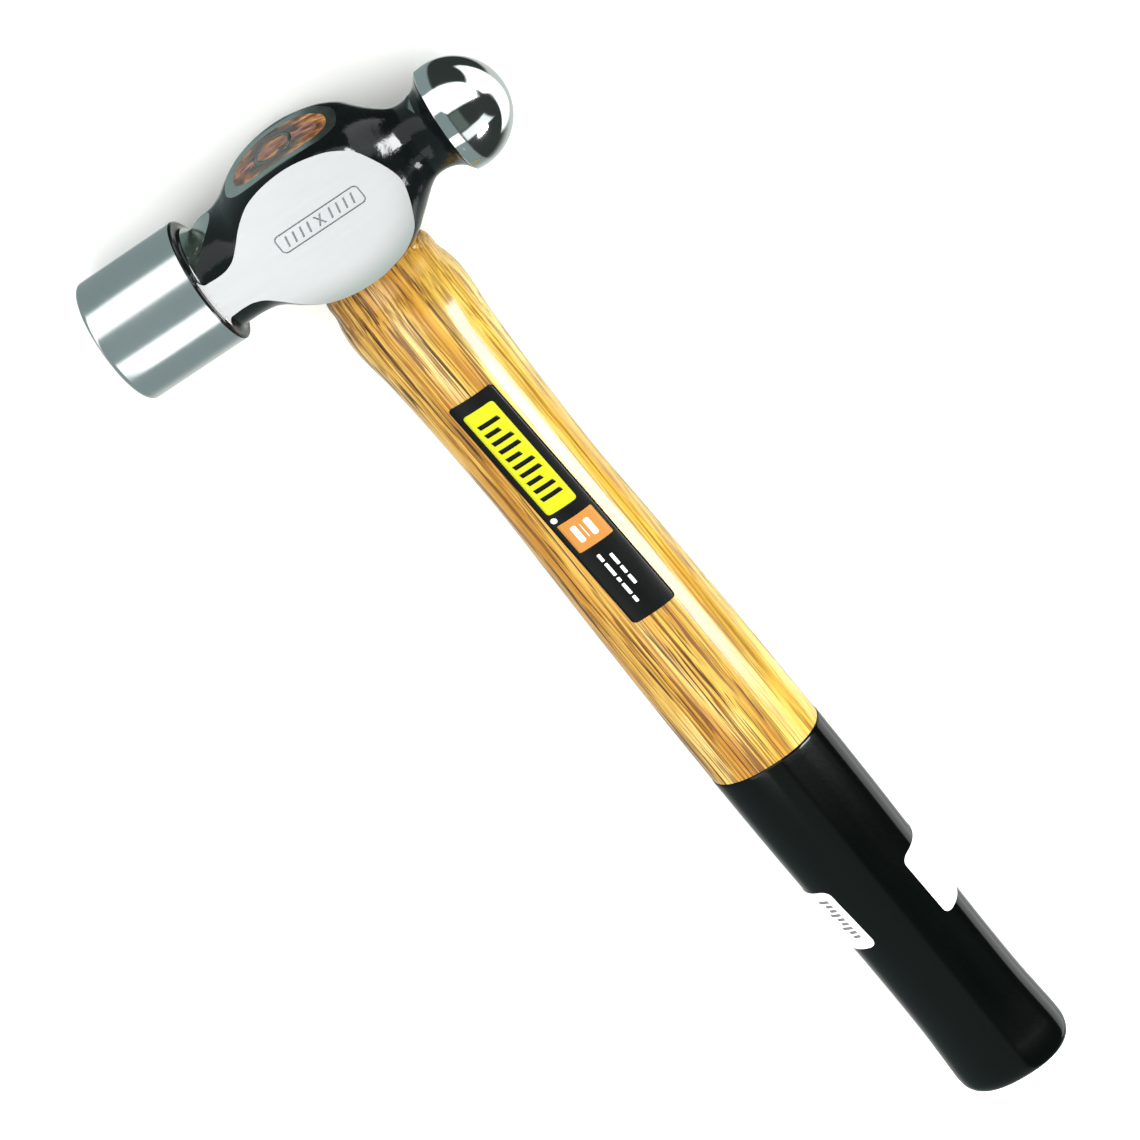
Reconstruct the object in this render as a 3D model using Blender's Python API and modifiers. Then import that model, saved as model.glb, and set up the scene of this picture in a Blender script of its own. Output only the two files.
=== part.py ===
"""Ball pein hammer: a forged steel head on an oval ash handle with a dipped black grip.

The hammer lies on its side. +X runs along the head from the poll to the ball, +Y runs up the
handle to the crown of the head, and +Z is the normal of the cheek that faces up. Shapes are
drawn in millimetres about the point where the handle axis meets the head axis, and are then
moved so that the origin is the centre of the base of the bounding box.
"""
import math

import bmesh
import bpy
from mathutils import Vector

MM = 0.001
GAP = 0.3

# Head, along X.
FACE_X = -58.2
FACE_FLAT_R = 8.0
FACE_CROWN = 0.6
POLL_R = 15.5
POLL_CHAMFER = 1.9
SHOULDER_X = -30.8
SHOULDER_CHAMFER = 0.6
BALL_R = 13.0
BALL_X = 35.8
BALL_RIM_R = 12.9
CHEEK_Z = 12.2
CHEEK_START_X = -30.6
CHEEK_END_X = 24.0

# Body of the head between the poll and the ball: X, half height, half thickness and the
# power of the rounded section, where 2 is an ellipse and 5 is nearly a box.
BODY_SECTIONS = [
    (SHOULDER_X, 13.3, 13.9, 2.0),
    (-30.2, 12.8, 13.4, 2.0),
    (-29.0, 12.6, 13.25, 2.0),
    (-26.0, 12.6, 13.2, 2.0),
    (-23.5, 12.7, 13.25, 2.05),
    (-21.0, 13.1, 13.7, 2.1),
    (-18.5, 13.9, 14.6, 2.3),
    (-16.0, 15.2, 15.2, 2.7),
    (-13.0, 16.5, 15.6, 3.3),
    (-10.0, 17.3, 15.9, 4.0),
    (-6.0, 18.0, 16.0, 4.6),
    (-2.0, 18.3, 16.0, 5.0),
    (2.0, 18.3, 16.0, 5.0),
    (6.0, 18.0, 15.8, 4.5),
    (10.0, 17.3, 15.6, 4.0),
    (13.0, 16.4, 15.4, 3.4),
    (15.5, 15.3, 14.9, 2.9),
    (17.5, 14.1, 13.7, 2.4),
    (19.3, 12.9, 12.5, 2.1),
    (20.7, 11.8, 11.7, 2.0),
    (22.3, 10.5, 10.5, 2.0),
    (24.0, 9.4, 9.4, 2.0),
    (25.6, 8.9, 8.9, 2.0),
    (27.2, 8.85, 8.85, 2.0),
    (28.8, 9.1, 9.1, 2.0),
    (30.2, 9.6, 9.6, 2.0),
    (31.4, 10.3, 10.3, 2.0),
    (32.4, 11.2, 11.2, 2.0),
    (33.2, 12.3, 12.3, 2.0),
]

# Crown of the head, ground with the end of the handle to one shallow arch.
CROWN_Y = 17.9
ABOVE_CROWN_Y = 24.0
CROWN_ARCH_R = 50.0

# Eye, a slot that is waisted at the middle of the head.
EYE_HALF_X = 12.0
EYE_HALF_Z = 7.2
EYE_FLARE = 0.6
EYE_POWER = 2.4

# Handle, down -Y from the underside of the head: Y, half width and half thickness.
HANDLE_POWER = 2.25
HANDLE_SECTIONS = [
    (-18.9, 13.1, 7.9),
    (-21.0, 14.1, 8.3),
    (-25.0, 14.3, 8.8),
    (-29.0, 15.2, 9.8),
    (-33.0, 15.55, 10.3),
    (-38.0, 15.3, 10.3),
    (-44.0, 14.7, 10.0),
    (-55.0, 14.15, 9.6),
    (-70.0, 13.75, 9.3),
    (-90.0, 13.55, 9.1),
    (-110.0, 14.1, 9.2),
    (-135.0, 14.75, 9.5),
    (-160.0, 15.25, 9.75),
    (-186.0, 15.5, 9.9),
    (-212.0, 15.55, 10.0),
    (-235.0, 15.35, 9.9),
    (-262.0, 15.05, 9.8),
    (-287.0, 15.2, 9.9),
    (-299.0, 15.7, 10.2),
    (-306.0, 16.0, 10.5),
    (-310.0, 15.8, 10.4),
    (-312.4, 14.9, 9.5),
    (-313.6, 12.8, 7.4),
]
BUTT_Y = HANDLE_SECTIONS[-1][0]

# Dipped grip.
GRIP_TOP_Y = -186.0
GRIP_PROUD = 0.15
GRIP_WALL = 0.5

# Wedges that spread the end of the handle in the eye.
KERF_HALF_X = 10.4
KERF_DEPTH = 21.0
KERF_TOP = 3.2
KERF_BOTTOM = 0.9
RING_X = -1.0
RING_DEPTH = 11.0
RING_OUTER_R = 5.2
RING_INNER_R = 4.1
RING_TAPER = 0.3

# Labels: thin sheets that follow the handle.
LABEL_THICK = 0.3
FRONT_LABEL_TOP_Y = -56.0
FRONT_LABEL_LENGTH = 75.0
FRONT_LABEL_WIDTH = 12.2
FRONT_LABEL_LEAN = 2.2
REAR_LABEL_TOP_Y = -230.0
REAR_LABEL_HEIGHT = 22.5
REAR_LABEL_LEFT = 138.0
REAR_LABEL_RIGHT = 38.0
REAR_LABEL_LEAN = 6.0
REAR_LABEL_RISE_Y = 1.8
REAR_LABEL_DROP_Y = 2.4

HEAD_SIDES = 56
HANDLE_SIDES = 40

COLORS = {
    "hammer_head": (0.60, 0.62, 0.64, 1.0),
    "handle": (0.72, 0.46, 0.18, 1.0),
    "wood_wedge": (0.38, 0.13, 0.06, 1.0),
    "ring_wedge": (0.30, 0.32, 0.31, 1.0),
    "grip_coating": (0.02, 0.022, 0.025, 1.0),
    "front_label": (0.02, 0.02, 0.02, 1.0),
    "rear_label": (0.85, 0.85, 0.84, 1.0),
}
METAL_NODES = ("hammer_head", "ring_wedge")

# Moves a shape drawn about the eye to the centre of the base of the bounding box.
TO_BASE = Vector((-(FACE_X + BALL_X + BALL_R) / 2, -(CROWN_Y + BUTT_Y) / 2, POLL_R))


def clear_scene():
    for old in list(bpy.data.objects):
        bpy.data.objects.remove(old, do_unlink=True)


def new_collection(name):
    collection = bpy.data.collections.new(name)
    bpy.context.scene.collection.children.link(collection)
    return collection


def material_for(name):
    material = bpy.data.materials.new(name)
    material.use_nodes = True
    shader = material.node_tree.nodes["Principled BSDF"]
    shader.inputs["Base Color"].default_value = COLORS[name]
    shader.inputs["Metallic"].default_value = 1.0 if name in METAL_NODES else 0.0
    shader.inputs["Roughness"].default_value = 0.35
    return material


def oval(half_u, half_v, power, sides):
    """Points of a rounded section, one for each equal step of direction."""
    points = []
    for i in range(sides):
        turn = 2 * math.pi * i / sides
        u = math.cos(turn)
        v = math.sin(turn)
        size = (abs(u) / half_u) ** power + (abs(v) / half_v) ** power
        reach = size ** (-1.0 / power)
        points.append((u * reach, v * reach))
    return points


def loft(name, rings, collection, tip=None):
    """Closed solid through rings of equally many points, with flat ends or a pointed last end."""
    mesh = bpy.data.meshes.new(name)
    shape = bmesh.new()
    rows = []
    for ring in rings:
        rows.append([shape.verts.new(Vector(point) * MM) for point in ring])
    count = len(rows[0])
    for low, high in zip(rows, rows[1:]):
        for i in range(count):
            j = (i + 1) % count
            shape.faces.new((low[i], low[j], high[j], high[i]))
    shape.faces.new(rows[0])
    if tip is None:
        shape.faces.new(rows[-1])
    else:
        point = shape.verts.new(Vector(tip) * MM)
        for i in range(count):
            shape.faces.new((rows[-1][i], rows[-1][(i + 1) % count], point))
    bmesh.ops.recalc_face_normals(shape, faces=shape.faces)
    shape.to_mesh(mesh)
    shape.free()
    made = bpy.data.objects.new(name, mesh)
    collection.objects.link(made)
    return made


def head_ring(x, half_y, half_z, power):
    return [(x, y, z) for y, z in oval(half_y, half_z, power, HEAD_SIDES)]


def handle_ring(y, half_x, half_z, power=HANDLE_POWER):
    return [(x, y, z) for x, z in oval(half_x, half_z, power, HANDLE_SIDES)]


def cut(target, cutters):
    for cutter in cutters:
        cutter.hide_render = True
        cutter.display_type = "WIRE"
        step = target.modifiers.new("cut " + cutter.name, "BOOLEAN")
        step.operation = "DIFFERENCE"
        step.solver = "EXACT"
        step.object = cutter


def slab(name, low, high, collection):
    """Box between two corners."""
    outline = [(low[0], low[1]), (high[0], low[1]), (high[0], high[1]), (low[0], high[1])]
    rings = [[(x, y, z) for x, y in outline] for z in (low[2], high[2])]
    return loft(name, rings, collection)


def crown_cutter(collection):
    """Block above the arch to which the crown is ground."""
    reach = 30.0
    steps = 25
    outline = []
    for i in range(steps + 1):
        x = reach * (2.0 * i / steps - 1.0)
        drop = CROWN_ARCH_R - math.sqrt(CROWN_ARCH_R ** 2 - x ** 2)
        outline.append((x, CROWN_Y - drop))
    outline.append((reach, 40.0))
    outline.append((-reach, 40.0))
    rings = [[(x, y, z) for x, y in outline] for z in (-20.0, 20.0)]
    return loft("crown arch", rings, collection)


def eye_half(y):
    flare = EYE_FLARE * (y / CROWN_Y) ** 2
    return EYE_HALF_X + flare, EYE_HALF_Z + flare


def eye_cutter(collection):
    rings = []
    for i in range(13):
        y = ABOVE_CROWN_Y - 4.0 * i
        half_x, half_z = eye_half(y)
        rings.append(handle_ring(y, half_x, half_z, EYE_POWER))
    return loft("eye slot", rings, collection)


def build_head(collection, cutters, crown):
    rings = [
        head_ring(FACE_X, FACE_FLAT_R, FACE_FLAT_R, 2.0),
        head_ring(FACE_X + FACE_CROWN, POLL_R - POLL_CHAMFER, POLL_R - POLL_CHAMFER, 2.0),
        head_ring(FACE_X + FACE_CROWN + 0.6, POLL_R - 0.6, POLL_R - 0.6, 2.0),
        head_ring(FACE_X + FACE_CROWN + POLL_CHAMFER, POLL_R, POLL_R, 2.0),
        head_ring(SHOULDER_X - SHOULDER_CHAMFER, POLL_R, POLL_R, 2.0),
        head_ring(SHOULDER_X, POLL_R - SHOULDER_CHAMFER, POLL_R - SHOULDER_CHAMFER, 2.0),
    ]
    rings += [head_ring(*section) for section in BODY_SECTIONS]
    rings.append(head_ring(BALL_X - 2.1, BALL_RIM_R, BALL_RIM_R, 2.0))
    for step in range(0, 7):
        turn = math.radians(12.5 * step)
        radius = BALL_R * math.cos(turn)
        rings.append(head_ring(BALL_X + BALL_R * math.sin(turn), radius, radius, 2.0))
    head = loft("hammer_head", rings, collection, tip=(BALL_X + BALL_R, 0.0, 0.0))
    top = slab("top cheek", (CHEEK_START_X, -30, CHEEK_Z), (CHEEK_END_X, 30, 30), cutters)
    bottom = slab("bottom cheek", (CHEEK_START_X, -30, -30), (CHEEK_END_X, 30, -CHEEK_Z), cutters)
    cut(head, [top, bottom, crown, eye_cutter(cutters)])
    return head


def wedge_prism(name, grow, collection):
    """Tapered wedge, wide at the crown, that lies along X in the kerf."""
    half_x = KERF_HALF_X + grow
    rings = []
    ends = (
        (ABOVE_CROWN_Y, KERF_TOP + 0.9, half_x),
        (CROWN_Y - KERF_DEPTH - grow, KERF_BOTTOM, half_x - 1.0),
    )
    for y, thick, end in ends:
        half_z = thick / 2 + grow
        rings.append([(-end, y, -half_z), (end, y, -half_z), (end, y, half_z), (-end, y, half_z)])
    return loft(name, rings, collection)


def ring_solid(name, grow, collection):
    """Tapered tube, driven down the middle of the handle from the crown."""
    top = ABOVE_CROWN_Y
    bottom = CROWN_Y - RING_DEPTH - grow
    sides = 32
    rows = (
        (top, RING_OUTER_R + grow),
        (bottom, RING_OUTER_R - RING_TAPER + grow),
        (bottom, RING_INNER_R + RING_TAPER - grow),
        (top, RING_INNER_R - grow),
    )
    mesh = bpy.data.meshes.new(name)
    shape = bmesh.new()
    loops = []
    for y, radius in rows:
        loop = [(RING_X + u, y, v) for u, v in oval(radius, radius, 2.0, sides)]
        loops.append([shape.verts.new(Vector(point) * MM) for point in loop])
    for near, far in zip(loops, loops[1:] + loops[:1]):
        for i in range(sides):
            j = (i + 1) % sides
            shape.faces.new((near[i], near[j], far[j], far[i]))
    bmesh.ops.recalc_face_normals(shape, faces=shape.faces)
    shape.to_mesh(mesh)
    shape.free()
    made = bpy.data.objects.new(name, mesh)
    collection.objects.link(made)
    return made


def build_handle(collection, crown, kerf, ring_slot):
    """Tenon in the eye, the bare shaft, and the thinner core under the grip, in one stick."""
    rings = []
    for y in (ABOVE_CROWN_Y - 1.0, 15.0, 9.0, 3.0, -3.0, -9.0, -15.0, -18.6):
        half_x, half_z = eye_half(y)
        rings.append(handle_ring(y, half_x - GAP, half_z - GAP, EYE_POWER))
    for y, half_x, half_z in HANDLE_SECTIONS:
        if y >= GRIP_TOP_Y:
            rings.append(handle_ring(y, half_x, half_z))
    sink = GRIP_WALL - GRIP_PROUD + GAP
    squash = (BUTT_Y + GRIP_WALL + GAP - GRIP_TOP_Y) / (BUTT_Y - GRIP_TOP_Y)
    for y, half_x, half_z in HANDLE_SECTIONS:
        if y <= GRIP_TOP_Y:
            core_y = GRIP_TOP_Y + (y - GRIP_TOP_Y) * squash
            rings.append(handle_ring(core_y, half_x - sink, half_z - sink))
    handle = loft("handle", rings, collection)
    cut(handle, [kerf, ring_slot, crown])
    return handle


def build_grip(collection, cutters):
    """Thin cup of dipped coating over the sides and the butt of the handle."""
    outer = []
    inner = []
    sink = GRIP_WALL - GRIP_PROUD
    squash = (BUTT_Y + GRIP_WALL - GRIP_TOP_Y) / (BUTT_Y - GRIP_TOP_Y)
    for y, half_x, half_z in HANDLE_SECTIONS:
        if y > GRIP_TOP_Y:
            continue
        outer_y = min(y, GRIP_TOP_Y - GAP)
        outer.append(handle_ring(outer_y, half_x + GRIP_PROUD, half_z + GRIP_PROUD))
        inner_y = GRIP_TOP_Y + (y - GRIP_TOP_Y) * squash
        inner.append(handle_ring(inner_y, half_x - sink, half_z - sink))
    lead_in = [(x, GRIP_TOP_Y + 5.0, z) for x, _, z in inner[0]]
    grip = loft("grip_coating", outer, collection)
    cut(grip, [loft("grip hollow", [lead_in] + inner, cutters)])
    return grip


def handle_half(y):
    """Half width and half thickness of the handle at one height."""
    for (y0, x0, z0), (y1, x1, z1) in zip(HANDLE_SECTIONS, HANDLE_SECTIONS[1:]):
        if y1 <= y <= y0:
            share = (y - y0) / (y1 - y0)
            return x0 + (x1 - x0) * share, z0 + (z1 - z0) * share
    raise ValueError("height is off the handle")


def sheet(name, rows, collection):
    """Label: a strip of rows of points, each row from one side of the label to the other."""
    mesh = bpy.data.meshes.new(name)
    shape = bmesh.new()
    grid = [[shape.verts.new(Vector(point) * MM) for point in row] for row in rows]
    for low, high in zip(grid, grid[1:]):
        for i in range(len(low) - 1):
            shape.faces.new((low[i], low[i + 1], high[i + 1], high[i]))
    bmesh.ops.recalc_face_normals(shape, faces=shape.faces)
    shape.to_mesh(mesh)
    shape.free()
    made = bpy.data.objects.new(name, mesh)
    collection.objects.link(made)
    return made


def thicken(label, outward):
    """Solidify away from the handle, whichever way the sheet's normals run."""
    normal = label.data.polygons[0].normal
    step = label.modifiers.new("thickness", "SOLIDIFY")
    step.thickness = LABEL_THICK * MM
    step.offset = 1.0 if normal.dot(outward) > 0 else -1.0
    step.use_even_offset = True


def build_front_label(collection):
    rows = []
    for i in range(13):
        share = i / 12
        y = FRONT_LABEL_TOP_Y - FRONT_LABEL_LENGTH * share
        half_x, half_z = handle_half(y)
        row = []
        for j in range(7):
            x = FRONT_LABEL_WIDTH * (j / 6 - 0.5) + FRONT_LABEL_LEAN * share
            rise = (1 - (abs(x) / half_x) ** HANDLE_POWER) ** (1 / HANDLE_POWER)
            row.append((x, y, half_z * rise + GAP))
        rows.append(row)
    label = sheet("front_label", rows, collection)
    thicken(label, Vector((0, 0, 1)))
    return label


def build_rear_label(collection):
    """Sheet that wraps round the back of the grip, with both ends in front."""
    steps = 30
    rows = []
    for i in range(7):
        share = i / 6
        off = GRIP_PROUD + GAP
        row = []
        for j in range(steps + 1):
            askew = REAR_LABEL_RISE_Y - (REAR_LABEL_RISE_Y + REAR_LABEL_DROP_Y) * j / steps
            y = REAR_LABEL_TOP_Y - REAR_LABEL_HEIGHT * share + askew
            half_x, half_z = handle_half(y)
            start = REAR_LABEL_LEFT - REAR_LABEL_LEAN * share
            end = 360.0 + REAR_LABEL_RIGHT - REAR_LABEL_LEAN * share * 0.4
            turn = math.radians(start + (end - start) * j / steps)
            u = math.cos(turn)
            v = math.sin(turn)
            size = (abs(u) / (half_x + off)) ** HANDLE_POWER + (abs(v) / (half_z + off)) ** HANDLE_POWER
            reach = size ** (-1.0 / HANDLE_POWER)
            row.append((u * reach, y, v * reach))
        rows.append(row)
    label = sheet("rear_label", rows, collection)
    thicken(label, Vector((-1, 0, 0)))
    return label


def finish_nodes(nodes, cutters):
    """Give each node its material and shading, and move everything onto the base."""
    for node in nodes:
        node.data.materials.clear()
        node.data.materials.append(material_for(node.name))
        node.data.shade_smooth()
        node.data.set_sharp_from_angle(angle=math.radians(32))
        node.location = TO_BASE * MM
    for cutter in cutters.objects:
        cutter.location = TO_BASE * MM


def build():
    clear_scene()
    hammer = new_collection("ball pein hammer")
    cutters = new_collection("cutters")
    crown = crown_cutter(cutters)
    kerf = wedge_prism("kerf", GAP, cutters)
    ring_slot = ring_solid("ring slot", GAP, cutters)
    wood_wedge = wedge_prism("wood_wedge", 0.0, hammer)
    cut(wood_wedge, [ring_slot, crown])
    ring_wedge = ring_solid("ring_wedge", 0.0, hammer)
    cut(ring_wedge, [crown])
    nodes = [
        build_head(hammer, cutters, crown),
        build_handle(hammer, crown, kerf, ring_slot),
        wood_wedge,
        ring_wedge,
        build_grip(hammer, cutters),
        build_front_label(hammer),
        build_rear_label(hammer),
    ]
    finish_nodes(nodes, cutters)


build()
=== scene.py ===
"""Looks of the ball pein hammer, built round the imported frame.

Shapes are drawn in millimetres about the point where the handle axis meets the head axis:
X runs from the poll to the ball, Y up the handle to the crown, Z out of the upper cheek.
"""

import math

import bmesh
import bpy
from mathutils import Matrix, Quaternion, Vector


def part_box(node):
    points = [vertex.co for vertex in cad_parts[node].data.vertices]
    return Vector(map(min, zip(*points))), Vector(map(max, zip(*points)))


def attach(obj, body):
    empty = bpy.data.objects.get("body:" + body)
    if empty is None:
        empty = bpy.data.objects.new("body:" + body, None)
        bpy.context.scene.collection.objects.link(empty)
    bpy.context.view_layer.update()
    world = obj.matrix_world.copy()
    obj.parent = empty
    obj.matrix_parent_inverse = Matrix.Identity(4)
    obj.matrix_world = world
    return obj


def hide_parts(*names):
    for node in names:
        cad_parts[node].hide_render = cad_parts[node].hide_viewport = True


MM = 0.001
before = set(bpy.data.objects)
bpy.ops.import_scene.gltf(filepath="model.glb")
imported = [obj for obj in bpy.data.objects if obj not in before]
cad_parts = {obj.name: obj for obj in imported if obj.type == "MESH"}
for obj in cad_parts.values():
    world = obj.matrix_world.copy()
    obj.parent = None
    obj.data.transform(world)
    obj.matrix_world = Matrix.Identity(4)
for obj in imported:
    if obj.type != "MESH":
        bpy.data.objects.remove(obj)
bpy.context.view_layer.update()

HEAD_LOW, HEAD_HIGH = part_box("hammer_head")
SHAFT_LOW, SHAFT_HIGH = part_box("handle")
GRIP_LOW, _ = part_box("grip_coating")
BUTT_Y = -313.6
EYE = Vector((
    (SHAFT_LOW[0] + SHAFT_HIGH[0]) / 2,
    GRIP_LOW[1] - BUTT_Y * MM,
    (HEAD_LOW[2] + HEAD_HIGH[2]) / 2,
))

# Head.
FACE_X = (HEAD_LOW[0] - EYE.x) / MM
BALL_END_X = (HEAD_HIGH[0] - EYE.x) / MM
POLL_R = (HEAD_HIGH[2] - HEAD_LOW[2]) / 2 / MM
FACE_ROUND = 2.2
FACE_BEVEL = 1.5
FACE_CROWN = 0.6
SHOULDER_X = -30.8
NECK_FILLET = 1.5
BALL_R = 13.0
BALL_X = BALL_END_X - BALL_R
BALL_RIM_R = 12.9
CHEEK_Z = 12.2
# Half sizes, in metres, of an oval round the eye. On one side of it, the cheek's colour is
# painted darker towards the oval's edge and stays dark beyond: painted shade.
SHADE_OVAL_X = 0.0255
SHADE_OVAL_Y = 0.0175
CROWN_Y = 17.9
CROWN_ARCH_R = 50.0
ABOVE_CROWN_Y = 24.0
EYE_HALF_X = 12.0
EYE_HALF_Z = 7.2
EYE_FLARE = 0.6
EYE_POWER = 2.4
HEAD_SIDES = 144

# X, half height, half thickness and power of the rounded section.
BODY_SECTIONS = [
    (-29.0, 12.6, 13.25, 2.0),
    (-26.0, 12.6, 13.2, 2.0),
    (-23.5, 12.7, 13.25, 2.05),
    (-21.0, 13.1, 13.7, 2.1),
    (-18.5, 13.9, 14.6, 2.3),
    (-16.0, 15.2, 15.2, 2.7),
    (-13.0, 16.5, 15.6, 3.3),
    (-10.0, 17.3, 15.9, 4.0),
    (-6.0, 18.0, 16.0, 4.6),
    (-2.0, 18.3, 16.0, 5.0),
    (2.0, 18.3, 16.0, 5.0),
    (6.0, 18.0, 15.8, 4.5),
    (10.0, 17.3, 15.6, 4.0),
    (13.0, 16.4, 15.4, 3.4),
    (15.5, 15.3, 14.9, 2.9),
    (17.5, 14.1, 13.7, 2.4),
    (19.3, 12.9, 12.5, 2.1),
    (20.7, 11.8, 11.7, 2.0),
    (22.3, 10.5, 10.5, 2.0),
    (24.0, 9.4, 9.4, 2.0),
    (25.6, 8.9, 8.9, 2.0),
    (27.2, 8.85, 8.85, 2.0),
    (28.8, 9.1, 9.1, 2.0),
    (30.2, 9.6, 9.6, 2.0),
    (31.4, 10.3, 10.3, 2.0),
    (32.4, 11.2, 11.2, 2.0),
    (33.2, 12.3, 12.3, 2.0),
]

# Handle: Y, half width, half thickness.
HANDLE_POWER = 2.25
HANDLE_SIDES = 96
HANDLE_SECTIONS = [
    (-18.9, 13.1, 7.9),
    (-21.0, 14.1, 8.3),
    (-25.0, 14.3, 8.8),
    (-29.0, 15.2, 9.8),
    (-33.0, 15.55, 10.3),
    (-38.0, 15.3, 10.3),
    (-44.0, 14.7, 10.0),
    (-55.0, 14.15, 9.6),
    (-70.0, 13.75, 9.3),
    (-90.0, 13.55, 9.1),
    (-110.0, 14.1, 9.2),
    (-135.0, 14.75, 9.5),
    (-160.0, 15.25, 9.75),
    (-186.0, 15.5, 9.9),
    (-212.0, 15.55, 10.0),
    (-235.0, 15.35, 9.9),
    (-262.0, 15.05, 9.8),
    (-287.0, 15.2, 9.9),
    (-299.0, 15.7, 10.2),
    (-306.0, 16.0, 10.5),
    (-310.0, 15.8, 10.4),
    (-312.4, 14.9, 9.5),
    (-313.6, 12.8, 7.4),
]
GRIP_TOP_Y = -186.0
GRIP_PROUD = 0.15
ROUND_TOP_Y = -308.0
BUTT_ROUND = 4.2

# Wedges.
KERF_HALF_X = 10.4
KERF_DEPTH = 21.0
KERF_TOP = 3.2
KERF_BOTTOM = 0.9
KERF_FLARE = 0.9
RING_X = -1.0
RING_DEPTH = 11.0
RING_OUTER_R = 5.2
RING_INNER_R = 4.1
RING_TAPER = 0.3
SEAM = 0.06

# Labels.
FRONT_TOP_Y = -56.0
FRONT_LENGTH = 75.0
FRONT_WIDTH = 12.2
FRONT_LEAN = 2.2
INK_LIFT = 0.12
INK_STEP = 0.04
LABEL_GAP = 3.6
YELLOW_LENGTH = 34.0
BAR_COUNT = 10
BAR_HALF = 0.62
BAR_MARGIN = 3.2
ORANGE_LENGTH = 9.4
# Rows of dashes: place across, distance down, and the length of each dash.
DASH_ROWS = ((0.9, 1.6, (3.6, 2.4, 3.0)), (-1.6, 0.0, (2.4, 4.2, 1.4, 3.6, 2.0)))
DASH_HALF = 0.42
DASH_GAP = 0.75
REAR_TOP_Y = -230.0
REAR_HEIGHT = 22.5
REAR_LEFT = 138.0
REAR_RIGHT = 38.0
REAR_LEAN = 6.0
REAR_RISE_Y = 1.8
REAR_DROP_Y = 2.4
PAPER_THICK = 0.12
PAPER_INK_LIFT = 0.16
PAPER_CORNER = 2.2

# Stamp on the cheek.
STAMP_Y = 2.7
STAMP_LENGTH = 22.5
STAMP_HEIGHT = 5.0
STAMP_DEPTH = 0.16
STAMP_LINE = 0.36
STAMP_ROUND = 1.3
STROKE_HALF_Y = 1.35
STROKE_WIDE = 0.5
STROKE_PITCH = 1.95
CROSS_HALF_X = 0.8

# Camera: focal length and sensor in millimetres, metres from the eye of the hammer, and
# its turn about its own line of sight in degrees.
CAMERA_LENS = 125.75
CAMERA_SENSOR = 36.0
CAMERA_PLACE = (0.1824, 0.3606, 0.7922)
CAMERA_AIM = (-0.00978, -0.11442, 0.0)
CAMERA_ROLL = 166.17

# Brightness of the studio, linear.
WHITE_FILL = (1.58, 1.59, 1.57)
DARK_ROOM = (0.040, 0.048, 0.045)
LEFT_WALL = (0.30, 0.38, 0.38)
FRONT_WALL = (0.15, 0.19, 0.17)
TABLE = (0.74, 0.78, 0.74)
SOFT_BOX = (1.75, 1.80, 1.80)
NEAR_BOX = (1.32, 1.36, 1.36)
LAMP = (44.0, 45.0, 45.0)


# ---------------------------------------------------------------- shaders

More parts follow.
